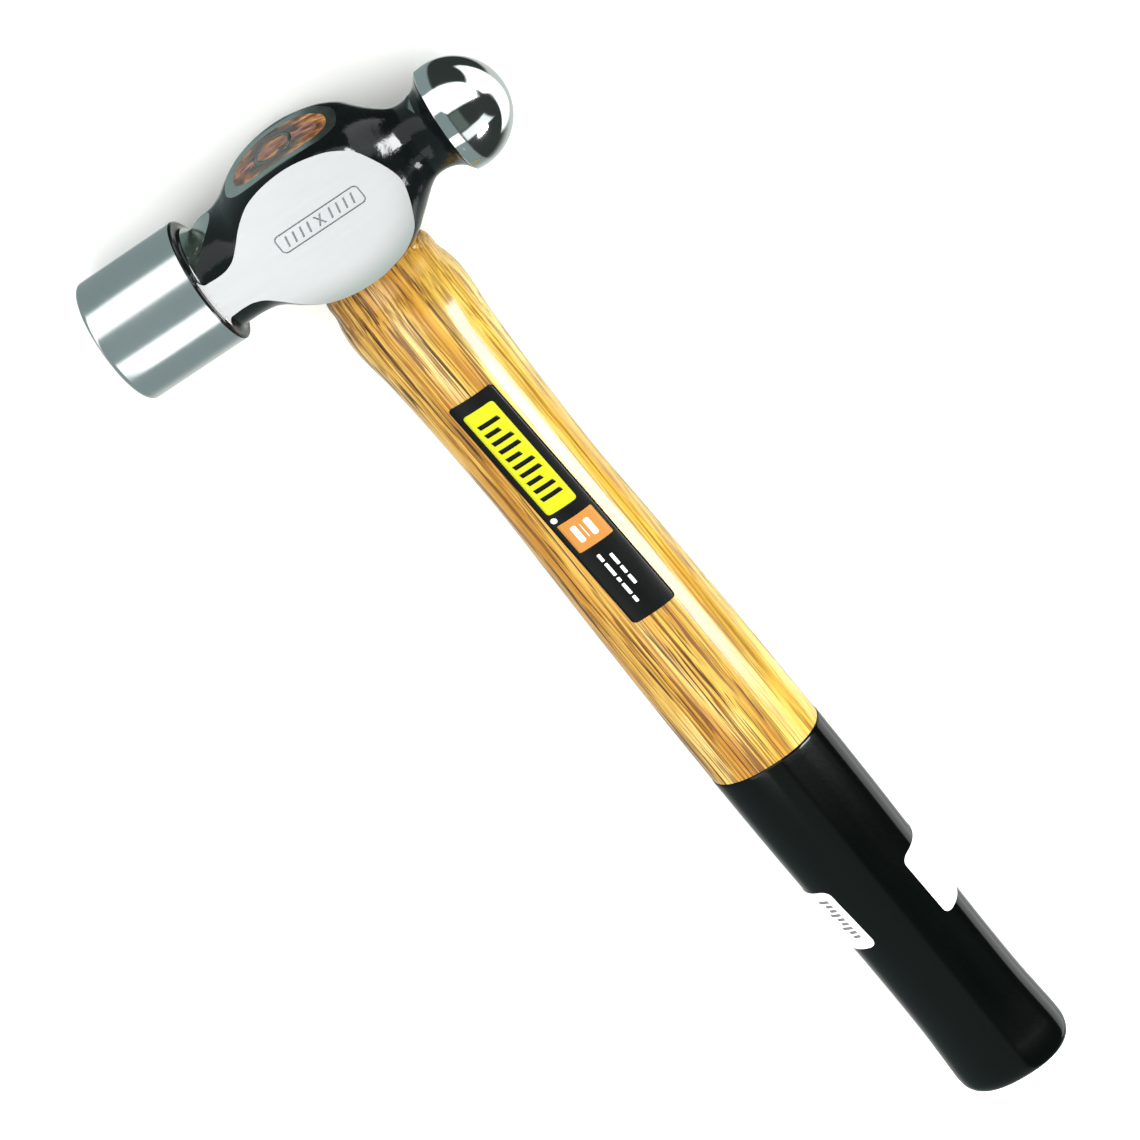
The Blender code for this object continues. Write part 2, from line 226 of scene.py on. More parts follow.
class Graph:
    """Small helper that adds nodes to one material, or to the world."""

    def __init__(self, name, world=None):
        self.material = world or bpy.data.materials.new(name)
        self.material.use_nodes = True
        self.tree = self.material.node_tree
        self.shader = self.tree.nodes["Background" if world else "Principled BSDF"]
        place = self.tree.nodes.new("ShaderNodeTexCoord")
        self.place = place.outputs["Generated" if world else "Object"]

    def feed(self, socket, value):
        if isinstance(value, bpy.types.NodeSocket):
            self.tree.links.new(value, socket)
        else:
            socket.default_value = value

    def fixed(self, **values):
        for name, value in values.items():
            self.shader.inputs[name.replace("_", " ")].default_value = value

    def mapped(self, scale, turn=(0, 0, 0), shift=(0, 0, 0)):
        node = self.tree.nodes.new("ShaderNodeMapping")
        self.feed(node.inputs["Vector"], self.place)
        node.inputs["Scale"].default_value = scale
        node.inputs["Rotation"].default_value = [math.radians(a) for a in turn]
        node.inputs["Location"].default_value = shift
        return node.outputs["Vector"]

    def noise(self, vector, detail=3.0, rough=0.5, bend=0.0):
        node = self.tree.nodes.new("ShaderNodeTexNoise")
        self.feed(node.inputs["Vector"], vector)
        node.inputs["Scale"].default_value = 1.0
        node.inputs["Detail"].default_value = detail
        node.inputs["Roughness"].default_value = rough
        node.inputs["Distortion"].default_value = bend
        return node.outputs["Fac"]

    def ramp(self, value, stops):
        node = self.tree.nodes.new("ShaderNodeValToRGB")
        self.feed(node.inputs["Fac"], value)
        ramp = node.color_ramp
        while len(ramp.elements) < len(stops):
            ramp.elements.new(0.5)
        for element, (at, color) in zip(ramp.elements, stops):
            element.position = at
            if isinstance(color, (int, float)):
                color = (color, color, color)
            element.color = (*color, 1.0)
        return node.outputs["Color"]

    def mix(self, share, first, second):
        node = self.tree.nodes.new("ShaderNodeMix")
        node.data_type = "RGBA"
        self.feed(node.inputs[0], share)
        for socket, value in ((node.inputs[6], first), (node.inputs[7], second)):
            if isinstance(value, tuple):
                value = (*value, 1.0)
            self.feed(socket, value)
        return node.outputs[2]

    def math(self, kind, first, second=0.0):
        node = self.tree.nodes.new("ShaderNodeMath")
        node.operation = kind
        self.feed(node.inputs[0], first)
        self.feed(node.inputs[1], second)
        return node.outputs[0]

    def step(self, value, low, high):
        """0 below low, 1 above high, and smooth between. low may be the larger of the two."""
        node = self.tree.nodes.new("ShaderNodeMapRange")
        node.interpolation_type = "SMOOTHSTEP"
        self.feed(node.inputs["Value"], value)
        flip = low > high
        node.inputs["From Min"].default_value = high if flip else low
        node.inputs["From Max"].default_value = low if flip else high
        node.inputs["To Min"].default_value = 1.0 if flip else 0.0
        node.inputs["To Max"].default_value = 0.0 if flip else 1.0
        return node.outputs["Result"]

    def window(self, value, low, high, soft):
        return self.math("MULTIPLY", self.step(value, low - soft, low + soft),
                         self.step(value, high + soft, high - soft))

    def bump(self, height, strength, reach):
        node = self.tree.nodes.new("ShaderNodeBump")
        node.inputs["Strength"].default_value = strength
        node.inputs["Distance"].default_value = reach
        self.feed(node.inputs["Height"], height)
        self.tree.links.new(node.outputs["Normal"], self.shader.inputs["Normal"])

    def color(self, value):
        self.feed(self.shader.inputs["Base Color"], value)

    def rough(self, value):
        self.feed(self.shader.inputs["Roughness"], value)


def turned_steel():
    """Lathe-turned bright steel: fine rings about the head axis, a few faint handling marks."""
    g = Graph("turned steel")
    g.fixed(Metallic=1.0)
    lines = g.noise(g.mapped((5000, 60, 60)), 2.0)
    smudge = g.noise(g.mapped((90, 90, 90)), 4.0)
    g.color(g.mix(smudge, (0.60, 0.63, 0.63), (0.68, 0.70, 0.70)))
    g.rough(g.ramp(g.mix(0.4, lines, smudge), [(0.3, 0.14), (0.7, 0.21)]))
    g.bump(lines, 0.05, 0.00002)
    return g.material


def ball_steel():
    """Polished steel with faint wipe marks."""
    g = Graph("polished ball steel")
    g.fixed(Metallic=1.0)
    smudge = g.noise(g.mapped((140, 140, 140)), 5.0)
    g.color(g.mix(smudge, (0.62, 0.66, 0.65), (0.72, 0.74, 0.74)))
    g.rough(g.ramp(smudge, [(0.3, 0.05), (0.75, 0.11)]))
    g.bump(g.noise(g.mapped((210, 210, 210)), 3.0), 0.12, 0.0002)
    return g.material


def cheek_steel():
    """Belt-ground flat, brushed along the head, with painted shade towards one edge of it."""
    g = Graph("ground cheek steel")
    g.fixed(Metallic=1.0)
    lines = g.noise(g.mapped((90, 2600, 90), turn=(0, 0, 4)), 3.0)
    cloud = g.noise(g.mapped((45, 45, 45)), 4.0)
    parts = g.tree.nodes.new("ShaderNodeSeparateXYZ")
    g.feed(parts.inputs[0], g.mapped((1 / SHADE_OVAL_X, 1 / SHADE_OVAL_Y, 1.0),
                                     shift=(-EYE.x / SHADE_OVAL_X, -EYE.y / SHADE_OVAL_Y, 0)))
    along = parts.outputs["X"]
    up = parts.outputs["Y"]
    # Painted shade: the flat's colour darkens towards the oval's edge on the side towards the ball
    # and the handle, where it mirrors less light.
    reach = g.math("ADD", g.math("MULTIPLY", along, along), g.math("MULTIPLY", up, up))
    side = g.step(g.math("SUBTRACT", g.math("MULTIPLY", along, 0.5), up), -0.1, 0.9)
    painted_shade = g.math("MULTIPLY", g.step(reach, 0.25, 1.0), side)
    bright = g.mix(cloud, (0.540, 0.535, 0.538), (0.620, 0.613, 0.616))
    g.color(g.mix(painted_shade, bright, (0.32, 0.345, 0.320)))
    g.rough(g.ramp(g.mix(0.5, lines, cloud), [(0.3, 0.30), (0.7, 0.38)]))
    g.bump(lines, 0.05, 0.00002)
    return g.material


def crown_steel():
    """Crown ground across with the end of the handle, left grey and a little green."""
    g = Graph("ground crown steel")
    g.fixed(Metallic=1.0)
    lines = g.noise(g.mapped((4000, 200, 300)), 3.0)
    stain = g.noise(g.mapped((220, 220, 220)), 5.0)
    parts = g.tree.nodes.new("ShaderNodeSeparateXYZ")
    g.feed(parts.inputs[0], g.place)
    apart = g.math("ABSOLUTE", g.math("SUBTRACT", parts.outputs["Z"], EYE.z))
    apart = g.math("ADD", apart, g.math("MULTIPLY", stain, 0.0012))
    steel = g.mix(stain, (0.40, 0.46, 0.42), (0.66, 0.72, 0.68))
    g.color(g.mix(g.step(apart, 0.0098, 0.0112), steel, (0.05, 0.06, 0.06)))
    g.rough(g.ramp(stain, [(0.3, 0.16), (0.7, 0.30)]))
    g.bump(lines, 0.12, 0.00003)
    return g.material


def black_lacquer():
    """Gloss black over the forged skin, whose shallow waves break up the highlights."""
    g = Graph("black lacquer")
    forged = g.noise(g.mapped((230, 230, 230)), 4.0, 0.55)
    peel = g.noise(g.mapped((1500, 1500, 1500)), 2.0)
    g.color(g.mix(forged, (0.0020, 0.0030, 0.0032), (0.005, 0.0070, 0.0072)))
    g.rough(g.ramp(forged, [(0.3, 0.08), (0.7, 0.17)]))
    g.fixed(IOR=1.33)
    g.bump(g.mix(0.18, forged, peel), 0.22, 0.0006)
    return g.material


def stamp_ink():
    g = Graph("stamped line")
    g.fixed(Metallic=1.0)
    spots = g.noise(g.mapped((900, 900, 900)), 3.0)
    g.color(g.mix(spots, (0.20, 0.21, 0.22), (0.42, 0.43, 0.44)))
    g.rough(g.ramp(spots, [(0.3, 0.4), (0.7, 0.6)]))
    return g.material


def ash_wood():
    """Open-pored wood under clear varnish: fine long grain, dark broken pore lines, and
    a paler, yellower side towards the ball, which is painted light where the key lamp falls."""
    g = Graph("varnished open-pored wood")
    lean = (0, 0, -6)
    drift = g.noise(g.mapped((150, 9, 50), turn=lean), 4.0, 0.6, 0.4)
    tan = g.ramp(drift, [
        (0.31, (0.36, 0.155, 0.014)),
        (0.44, (0.47, 0.245, 0.034)),
        (0.55, (0.55, 0.345, 0.068)),
        (0.65, (0.70, 0.550, 0.210)),
    ])
    gold = g.ramp(drift, [
        (0.30, (0.40, 0.195, 0.014)),
        (0.43, (0.48, 0.300, 0.030)),
        (0.54, (0.56, 0.430, 0.075)),
        (0.64, (0.70, 0.630, 0.240)),
    ])
    parts = g.tree.nodes.new("ShaderNodeSeparateXYZ")
    g.feed(parts.inputs[0], g.place)
    # Painted light: on the ball side, where the key lamp falls, the wood is made paler and
    # yellower and its pores fewer; the drifting tone along the grain is the wood's own.
    side = g.step(g.math("ADD", parts.outputs["X"], g.math("MULTIPLY", drift, 0.008)),
                  EYE.x + 0.0020, EYE.x + 0.0150)
    body = g.mix(side, tan, gold)
    head_end = g.step(parts.outputs["Y"], EYE.y - 0.042, EYE.y - 0.016)
    body = g.mix(g.math("MULTIPLY", head_end, 0.60), body, (0.40, 0.165, 0.016))
    fine = g.noise(g.mapped((2100, 24, 500), turn=lean), 5.0, 0.65)
    body = g.mix(g.ramp(fine, [(0.47, 0.0), (0.60, 0.85)]), body, (0.21, 0.085, 0.010))
    bands = g.noise(g.mapped((300, 8, 90), turn=lean, shift=(3.1, 0, 1.7)), 2.0)
    dashes = g.noise(g.mapped((1250, 27, 300), turn=lean), 3.0, 0.55, 0.2)
    # Fewer pores on the painted lit side.
    dense = g.math("MULTIPLY", g.ramp(bands, [(0.36, 0.25), (0.52, 1.0)]),
                   g.step(side, 1.45, 0.25))
    pores = g.math("MULTIPLY", g.ramp(dashes, [(0.51, 0.0), (0.565, 1.0)]), dense)
    body = g.mix(g.math("MULTIPLY", pores, 0.85), body, (0.110, 0.034, 0.002))
    rare = g.ramp(g.noise(g.mapped((1250, 26, 330), turn=lean, shift=(9, 2, 4)), 2.0),
                  [(0.62, 0.0), (0.66, 1.0)])
    rare = g.math("MULTIPLY", rare, g.step(side, 1.4, 0.5))
    dark = g.math("MAXIMUM", pores, rare)
    g.color(g.mix(g.math("MULTIPLY", rare, 0.9), body, (0.030, 0.011, 0.004)))
    g.rough(g.ramp(dark, [(0.0, 0.32), (1.0, 0.55)]))
    g.fixed(Coat_Weight=0.75, Coat_Roughness=0.15, IOR=1.2)
    g.bump(g.math("SUBTRACT", g.math("MULTIPLY", fine, 0.6), dark), 0.20, 0.0002)
    return g.material


def end_grain():
    """Sawn end of the handle in the eye: short rays, dark scorched spots, varnish rubbed thin."""
    g = Graph("end grain")
    parts = g.tree.nodes.new("ShaderNodeSeparateXYZ")
    g.feed(parts.inputs[0], g.place)
    off = g.math("SUBTRACT", parts.outputs["X"], EYE.x + RING_X * MM)
    rise = g.math("SUBTRACT", parts.outputs["Z"], EYE.z)
    squares = g.math("ADD", g.math("MULTIPLY", off, off), g.math("MULTIPLY", rise, rise))
    apart = g.math("SQRT", squares)
    rings = g.noise(g.mapped((160, 900, 900), turn=(0, 12, 0)), 4.0, 0.6)
    spots = g.noise(g.mapped((330, 330, 330)), 4.0, 0.6)
    amber = g.ramp(rings, [
        (0.30, (0.07, 0.018, 0.005)),
        (0.50, (0.27, 0.085, 0.018)),
        (0.68, (0.58, 0.340, 0.130)),
    ])
    marked = g.mix(g.ramp(spots, [(0.48, 0.0), (0.62, 0.9)]), amber, (0.035, 0.014, 0.006))
    ragged = g.math("ADD", apart, g.math("MULTIPLY", spots, 0.0045))
    stain = g.math("MULTIPLY", g.step(ragged, 0.0112, 0.0088), g.step(apart, 0.0032, 0.0044))
    g.color(g.mix(g.math("MULTIPLY", stain, 0.85), marked, (0.030, 0.036, 0.032)))
    g.rough(g.ramp(spots, [(0.3, 0.28), (0.7, 0.5)]))
    g.fixed(Coat_Weight=0.8, Coat_Roughness=0.16)
    g.bump(rings, 0.4, 0.0002)
    return g.material


def wedge_wood():
    g = Graph("dark red wedge wood")
    grain = g.noise(g.mapped((260, 900, 1600)), 4.0, 0.6)
    pale = g.ramp(grain, [(0.40, 0.0), (0.62, 1.0)])
    g.color(g.mix(pale, (0.06, 0.010, 0.006), (0.34, 0.17, 0.12)))
    g.rough(g.ramp(grain, [(0.3, 0.35), (0.7, 0.55)]))
    g.fixed(Coat_Weight=0.5, Coat_Roughness=0.2)
    g.bump(grain, 0.3, 0.0002)
    return g.material


def ring_steel():
    g = Graph("ring wedge steel")
    g.fixed(Metallic=1.0)
    stain = g.noise(g.mapped((700, 700, 700)), 4.0)
    g.color(g.mix(stain, (0.20, 0.24, 0.22), (0.55, 0.60, 0.58)))
    g.rough(g.ramp(stain, [(0.3, 0.25), (0.7, 0.45)]))
    g.bump(stain, 0.2, 0.0001)
    return g.material


def grip_black():
    """Dipped coating: satin black with a faint pebble and a few long runs."""
    g = Graph("dipped black coating")
    pebble = g.noise(g.mapped((1100, 1100, 1100)), 3.0, 0.6)
    runs = g.noise(g.mapped((260, 22, 260)), 3.0)
    g.color(g.mix(runs, (0.0004, 0.0008, 0.0006), (0.0011, 0.0019, 0.0014)))
    g.rough(g.ramp(g.mix(0.5, pebble, runs), [(0.3, 0.09), (0.7, 0.13)]))
    g.fixed(IOR=1.36)
    g.bump(g.mix(0.6, pebble, runs), 0.05, 0.0002)
    return g.material


def film(name, color, roughness=0.22, ior=1.22):
    """Printed label film in one ink, with faint ripples of the surface under it."""
    g = Graph(name)
    ripple = g.noise(g.mapped((420, 120, 420)), 3.0)
    darker = tuple(0.88 * c for c in color)
    g.color(g.mix(ripple, darker, color))
    g.rough(g.ramp(ripple, [(0.3, roughness), (0.7, roughness + 0.08)]))
    g.fixed(IOR=ior)
    g.bump(ripple, 0.10, 0.0003)
    return g.material


# ---------------------------------------------------------------- meshes

def hermite(values, places, at):
    """Smooth value through the points of a table, by its finite-difference slopes."""
    last = len(places) - 1
    k = 0
    while k < last - 1 and (at - places[k + 1]) * (places[-1] - places[0]) > 0:
        k += 1

    def slope(i):
        i0 = max(i - 1, 0)
        i1 = min(i + 1, last)
        return (values[i1] - values[i0]) / (places[i1] - places[i0])

    span = places[k + 1] - places[k]
    t = (at - places[k]) / span
    a = values[k]
    b = values[k + 1]
    ma = slope(k) * span
    mb = slope(k + 1) * span
    return ((2 * t ** 3 - 3 * t ** 2 + 1) * a + (t ** 3 - 2 * t ** 2 + t) * ma
            + (3 * t ** 2 - 2 * t ** 3) * b + (t ** 3 - t ** 2) * mb)


def section(table, at):
    """All the sizes of a table at one place along it."""
    places = [row[0] for row in table]
    return [hermite([row[i] for row in table], places, at) for i in range(1, len(table[0]))]


def oval(half_u, half_v, power, sides):
    """Points of a rounded oval. Power 2 is an ellipse, and a higher power is squarer."""
    points = []
    for i in range(sides):
        turn = 2 * math.pi * (i + 0.5) / sides
        u = math.cos(turn)
        v = math.sin(turn)
        reach = ((abs(u) / half_u) ** power + (abs(v) / half_v) ** power) ** (-1.0 / power)
        points.append((u * reach, v * reach))
    return points


def ring_at(y, half_x, half_z, power=HANDLE_POWER, off=0.0):
    """Closed ring of points round the handle axis at one height."""
    points = oval(half_x + off, half_z + off, power, HANDLE_SIDES)
    return [(x, y, z) for x, z in points]


def show(name, mesh_shape, materials):
    """Object at the eye of the hammer, from a bmesh in metres about the eye."""
    bmesh.ops.translate(mesh_shape, verts=mesh_shape.verts, vec=EYE)
    mesh = bpy.data.meshes.new(name)
    mesh_shape.to_mesh(mesh)
    mesh_shape.free()
    for material in materials:
        mesh.materials.append(material)
    made = bpy.data.objects.new(name, mesh)
    bpy.context.scene.collection.objects.link(made)
    return made


def loft_shape(rings, tip=None):
    """Closed skin over a row of rings, ending in a flat cap or in a point."""
    shape = bmesh.new()
    rows = [[shape.verts.new(Vector(point) * MM) for point in ring] for ring in rings]
    count = len(rows[0])
    for low, high in zip(rows, rows[1:]):
        for i in range(count):
            j = (i + 1) % count
            shape.faces.new((low[i], low[j], high[j], high[i]))
    shape.faces.new(rows[0])
    if tip is None:
        shape.faces.new(rows[-1])
    else:
        point = shape.verts.new(Vector(tip) * MM)
        for i in range(count):
            shape.faces.new((rows[-1][i], rows[-1][(i + 1) % count], point))
    bmesh.ops.recalc_face_normals(shape, faces=shape.faces)
    return shape


def cut_and_apply(target, cutters):
    """Booleans that carry the cutter's material onto the faces it makes."""
    for cutter in cutters:
        step = target.modifiers.new("cut", "BOOLEAN")
        step.operation = "DIFFERENCE"
        step.solver = "EXACT"
        step.material_mode = "TRANSFER"
        step.object = cutter
    graph = bpy.context.evaluated_depsgraph_get()
    mesh = bpy.data.meshes.new_from_object(target.evaluated_get(graph))
    target.modifiers.clear()
    target.data = mesh
    for cutter in cutters:
        bpy.data.objects.remove(cutter, do_unlink=True)


def soften(target, width, angle=24.0, segments=2):
    """Small round on every sharp edge, after the crumbs of the cuts are cleaned away."""
    shape = bmesh.new()
    shape.from_mesh(target.data)
    bmesh.ops.remove_doubles(shape, verts=shape.verts, dist=0.00004)
    bmesh.ops.dissolve_degenerate(shape, edges=shape.edges, dist=0.00002)
    limit = math.radians(angle)
    sharp = [e for e in shape.edges if len(e.link_faces) == 2 and e.calc_face_angle(0) > limit]
    bmesh.ops.bevel(
        shape, geom=sharp, offset=width * MM, segments=segments, profile=0.5,
        affect="EDGES", clamp_overlap=True, harden_normals=False, material=-1,
    )
    shape.to_mesh(target.data)
    shape.free()


def smooth(target, angle=34.0):
    """Smooth shading, but crisp at every sharp edge and wherever the material changes."""
    target.data.shade_smooth()
    target.data.set_sharp_from_angle(angle=math.radians(angle))
    shape = bmesh.new()
    shape.from_mesh(target.data)
    for edge in shape.edges:
        if len({face.material_index for face in edge.link_faces}) > 1:
            edge.smooth = False
    shape.to_mesh(target.data)
    shape.free()


def slab(low, high, material):
    """Box cutter between two corners."""
    outline = [(low[0], low[1]), (high[0], low[1]), (high[0], high[1]), (low[0], high[1])]
    rings = [[(x, y, z) for x, y in outline] for z in (low[2], high[2])]
    return show("cutter", loft_shape(rings), [material])


def crown_block(material):
    """Cutter for everything above the arched crown."""
    reach = 30.0
    steps = 61
    outline = []
    for i in range(steps + 1):
        x = reach * (2.0 * i / steps - 1.0)
        outline.append((x, CROWN_Y - CROWN_ARCH_R + math.sqrt(CROWN_ARCH_R ** 2 - x ** 2)))
    outline += [(reach, 40.0), (-reach, 40.0)]
    rings = [[(x, y, z) for x, y in outline] for z in (-20.0, 20.0)]
    return show("cutter", loft_shape(rings), [material])


def eye_half(y):
    """Half sizes of the waisted eye at one height."""
    flare = EYE_FLARE * (y / CROWN_Y) ** 2
    return EYE_HALF_X + flare, EYE_HALF_Z + flare


def eye_block(material):
    """Cutter for the waisted eye, right through the head."""
    rings = []
    for i in range(25):
        y = ABOVE_CROWN_Y - 2.0 * i
        half_x, half_z = eye_half(y)
        rings.append(ring_at(y, half_x, half_z, EYE_POWER))
    return show("cutter", loft_shape(rings), [material])


def bar(x0, x1, y0, y1, slant, material):
    """Straight-sided groove of the stamp, as a cutter through the cheek."""
    low = CHEEK_Z - STAMP_DEPTH
    high = CHEEK_Z + 1.0
    outline = [(x0, y0), (x1, y0), (x1 + slant, y1), (x0 + slant, y1)]
    rings = [[(x, y, z) for x, y in outline] for z in (low, high)]
    return show("cutter", loft_shape(rings), [material])


def frame_groove(material):
    """Closed groove round the stamp, a rounded rectangle."""
    shape = bmesh.new()
    loops = []
    for inset in (0.0, STAMP_LINE):
        for z in (CHEEK_Z - STAMP_DEPTH, CHEEK_Z + 1.0):
            loop = []
            half_x = STAMP_LENGTH / 2 - inset
            half_y = STAMP_HEIGHT / 2 - inset
            r = STAMP_ROUND - inset
            for corner, (sx, sy) in enumerate(((1, 1), (-1, 1), (-1, -1), (1, -1))):
                for i in range(7):
                    turn = math.radians(90 * corner + 15 * i)
                    x = sx * (half_x - r) + r * math.cos(turn)
                    y = STAMP_Y + sy * (half_y - r) + r * math.sin(turn)
                    loop.append(shape.verts.new(Vector((x, y, z)) * MM))
            loops.append(loop)
    outer_low, outer_high, inner_low, inner_high = loops
    count = len(outer_low)
    for near, far in ((outer_low, outer_high), (outer_high, inner_high),
                      (inner_high, inner_low), (inner_low, outer_low)):
        for i in range(count):
            j = (i + 1) % count
            shape.faces.new((near[i], near[j], far[j], far[i]))
    bmesh.ops.recalc_face_normals(shape, faces=shape.faces)
    return show("cutter", shape, [material])


def stamp_cutters(material):
    """Generic mark: a cross between two groups of slanted strokes, in a frame."""
    made = [frame_groove(material)]
    low = STAMP_Y - STROKE_HALF_Y
    high = STAMP_Y + STROKE_HALF_Y
    for side in (-1, 1):
        for i in range(4):
            x = side * (2.9 + STROKE_PITCH * i) - 0.55
            made.append(bar(x, x + STROKE_WIDE, low, high, 0.6, material))
    for slant in (-1, 1):
        x = -CROSS_HALF_X * slant
        made.append(bar(x - STROKE_WIDE / 2, x + STROKE_WIDE / 2, low, high,
                        2 * CROSS_HALF_X * slant, material))
    return made


def head_rings():
    """Rings of the forging from the striking face to the tip of the ball."""
    def ring(x, half_y, half_z, power):
        return [(x, y, z) for y, z in oval(half_y, half_z, power, HEAD_SIDES)]

    _, neck_y, neck_z, _ = BODY_SECTIONS[0]
    rings = []
    for i in range(5):
        share = i / 4
        radius = 3.0 + (POLL_R - FACE_ROUND - 3.0) * share
        x = FACE_X + FACE_CROWN * (radius / (POLL_R - FACE_ROUND)) ** 2
        rings.append(ring(x, radius, radius, 2.0))
    for i in range(1, 8):
        turn = math.radians(90 * i / 7)
        x = FACE_X + FACE_CROWN + FACE_BEVEL * (1 - math.cos(turn))
        radius = POLL_R - FACE_ROUND * (1 - math.sin(turn))
        rings.append(ring(x, radius, radius, 2.0))
    for x in (-45.0, -34.0, SHOULDER_X - 0.55):
        rings.append(ring(x, POLL_R, POLL_R, 2.0))
    for inset, back in ((0.16, 0.25), (0.5, 0.03), (0.75, 0.0), (1.2, 0.0)):
        rings.append(ring(SHOULDER_X - back, POLL_R - inset, POLL_R - inset, 2.0))
    for i in range(7):
        turn = math.radians(90 * i / 6)
        x = SHOULDER_X + NECK_FILLET * (1 - math.cos(turn))
        grow = NECK_FILLET * (1 - math.sin(turn))
        rings.append(ring(x, neck_y + grow, neck_z + grow, 2.0))
    first = BODY_SECTIONS[0][0]
    last = BODY_SECTIONS[-1][0]
    steps = 150
    for i in range(1, steps + 1):
        x = first + (last - first) * i / steps
        rings.append(ring(x, *section(BODY_SECTIONS, x)))
    rings.append(ring(BALL_X - 2.25, BALL_RIM_R - 0.25, BALL_RIM_R - 0.25, 2.0))
    rings.append(ring(BALL_X - 2.05, BALL_RIM_R, BALL_RIM_R, 2.0))
    rings.append(ring(BALL_X - 1.8, BALL_RIM_R - 0.01, BALL_RIM_R - 0.01, 2.0))
    for step in range(1, 29):
        turn = math.radians(-6 + 95.0 * step / 29)
        radius = BALL_R * math.cos(turn)
        rings.append(ring(BALL_X + BALL_R * math.sin(turn), radius, radius, 2.0))
    return rings


def build_head():
    """One forging: lofted, its cheeks and crown cut, pierced for the handle and stamped."""
    lacquer = black_lacquer()
    bright = turned_steel()
    ball = ball_steel()
    cheek = cheek_steel()
    crown = crown_steel()
    ink = stamp_ink()
    head = show("hammer_head_forging", loft_shape(head_rings(), tip=(BALL_END_X, 0, 0)),
                [lacquer, bright, ball])
    for face in head.data.polygons:
        x = (face.center.x - EYE.x) / MM
        if x < SHOULDER_X - 0.5:
            face.material_index = 1
        elif x > BALL_X - 2.3:
            face.material_index = 2
    start = SHOULDER_X + 0.15
    cutters = [
        slab((start, -30, CHEEK_Z), (24.0, 30, 30), cheek),
        slab((start, -30, -30), (24.0, 30, -CHEEK_Z), cheek),
        crown_block(crown),
        eye_block(lacquer),
    ]
    cut_and_apply(head, cutters)
    cut_and_apply(head, stamp_cutters(ink))
    smooth(head, 26)
    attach(head, "root")
    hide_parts("hammer_head")


def wedge_shape(grow):
    """Flat tapered wedge, grown on every side."""
    rings = []
    half_x = KERF_HALF_X + grow
    steps = 6
    for i in range(steps + 1):
        share = i / steps
        y = ABOVE_CROWN_Y + (CROWN_Y - KERF_DEPTH - grow - ABOVE_CROWN_Y) * share
        half_z = (KERF_TOP + KERF_FLARE + (KERF_BOTTOM - KERF_TOP - KERF_FLARE) * share) / 2 + grow
        end = half_x - share
        rings.append([(-end, y, -half_z), (end, y, -half_z), (end, y, half_z), (-end, y, half_z)])
    return loft_shape(rings)


def ring_shape(grow):
    """Round tapered wedge, a short tube grown on every side."""
    bottom = CROWN_Y - RING_DEPTH - grow
    rows = (
        (ABOVE_CROWN_Y, RING_OUTER_R + grow),
        (bottom, RING_OUTER_R - RING_TAPER + grow),
        (bottom, RING_INNER_R + RING_TAPER - grow),
        (ABOVE_CROWN_Y, RING_INNER_R - grow),
    )
    shape = bmesh.new()
    sides = 64
    loops = []
    for y, radius in rows:
        points = [(RING_X + u, y, v) for u, v in oval(radius, radius, 2.0, sides)]
        loops.append([shape.verts.new(Vector(point) * MM) for point in points])
    for near, far in zip(loops, loops[1:] + loops[:1]):
        for i in range(sides):
            j = (i + 1) % sides
            shape.faces.new((near[i], near[j], far[j], far[i]))
    bmesh.ops.recalc_face_normals(shape, faces=shape.faces)
    return shape


def build_wedges():
    red = wedge_wood()
    wedge = show("wedge_of_red_wood", wedge_shape(0.0), [red])
    cut_and_apply(wedge, [show("cutter", ring_shape(SEAM), [red]), crown_block(red)])
    smooth(wedge)
    steel = ring_steel()
    ring = show("round_steel_wedge", ring_shape(0.0), [steel])
    cut_and_apply(ring, [crown_block(steel)])
    soften(ring, 0.12)
    smooth(ring)
    for piece, node in ((wedge, "wood_wedge"), (ring, "ring_wedge")):
        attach(piece, "root")
        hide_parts(node)


def build_handle():
    """One stick, from the tenon in the eye to the core inside the grip."""
    wood = ash_wood()
    end = end_grain()
    rings = []
    for i in range(16):
        y = 23.0 - 41.6 * i / 15
        half_x, half_z = eye_half(y)
        rings.append(ring_at(y, half_x, half_z, EYE_POWER, off=-SEAM))
    top = HANDLE_SECTIONS[0][0]
    steps = 110
    for i in range(steps + 1):
        y = top + (GRIP_TOP_Y - top) * (i / steps) ** 1.25
        half_x, half_z = section(HANDLE_SECTIONS, y)
        rings.append(ring_at(y, half_x, half_z))
    for y in (GRIP_TOP_Y, -240.0, BUTT_Y + 2.0):
        half_x, half_z = section(HANDLE_SECTIONS, y)
        rings.append(ring_at(y, half_x, half_z, off=-0.7 if y > ROUND_TOP_Y else -2.0))
    handle = show("handle_of_ash", loft_shape(rings), [wood])
    cutters = [
        show("cutter", wedge_shape(SEAM), [end]),
        show("cutter", ring_shape(SEAM), [end]),
        crown_block(end),
    ]
    cut_and_apply(handle, cutters)
    smooth(handle, 40)
    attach(handle, "root")
    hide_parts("handle")


